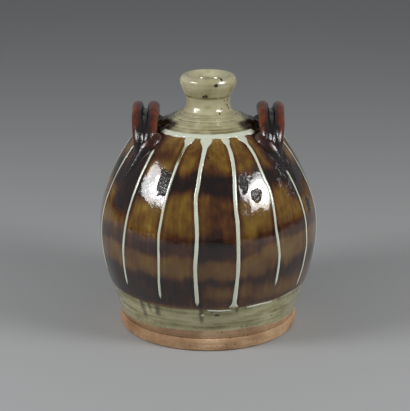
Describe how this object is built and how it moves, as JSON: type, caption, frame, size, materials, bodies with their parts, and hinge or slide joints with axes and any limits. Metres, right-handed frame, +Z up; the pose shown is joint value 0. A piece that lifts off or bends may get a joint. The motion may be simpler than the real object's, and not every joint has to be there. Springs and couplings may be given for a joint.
{
  "type": "pilgrim flask",
  "caption": "Globular stoneware flask on a foot ring, with a short cupped neck, double-coil strap lugs over the shoulder and raised slip trails down the glazed belly.",
  "frame": {"origin": "centre of the foot ring's underside, on the globe's axis", "axes": "+Z up along the axis to the mouth, -Y to the front, +X to the viewer's right, through both lugs"},
  "size_m": [0.1962, 0.1963, 0.2299],
  "materials": {
    "raw_stoneware": "bare fired stoneware, sandy and matt",
    "ash_glaze": "semi-gloss ash glaze, sage to beige, with iron specks",
    "iron_glaze": "gloss iron glaze, amber to near black in soft bands",
    "rust_glaze": "gloss iron glaze, red-brown, thin and rusty on the ridges",
    "white_slip": "glazed white slip, slightly green"
  },
  "bodies": {
    "root": {"foot_ring": "raw_stoneware", "globe_wall": "ash_glaze", "neck_and_rim": "ash_glaze", "iron_glaze_coat": "iron_glaze", "left_inner_coil": "rust_glaze", "left_outer_coil": "rust_glaze", "left_coil_valley": "rust_glaze", "left_front_root": "rust_glaze", "left_rear_root": "rust_glaze", "right_inner_coil": "rust_glaze", "right_outer_coil": "rust_glaze", "right_coil_valley": "rust_glaze", "right_front_root": "rust_glaze", "right_rear_root": "rust_glaze", "front_shoulder_ring": "white_slip", "rear_shoulder_ring": "white_slip", "front_slip_scrap": "white_slip", "right_slip_scrap": "white_slip", "slip_trail_01": "white_slip", "slip_trail_02": "white_slip", "slip_trail_03": "white_slip", "slip_trail_04": "white_slip", "slip_trail_05": "white_slip", "slip_trail_06": "white_slip", "slip_trail_07": "white_slip", "slip_trail_08": "white_slip", "slip_trail_09": "white_slip", "slip_trail_10": "white_slip", "slip_trail_11": "white_slip", "slip_trail_12": "white_slip", "slip_trail_13": "white_slip", "slip_trail_14": "white_slip", "slip_trail_15": "white_slip", "slip_trail_16": "white_slip"}
  },
  "joints": []
}
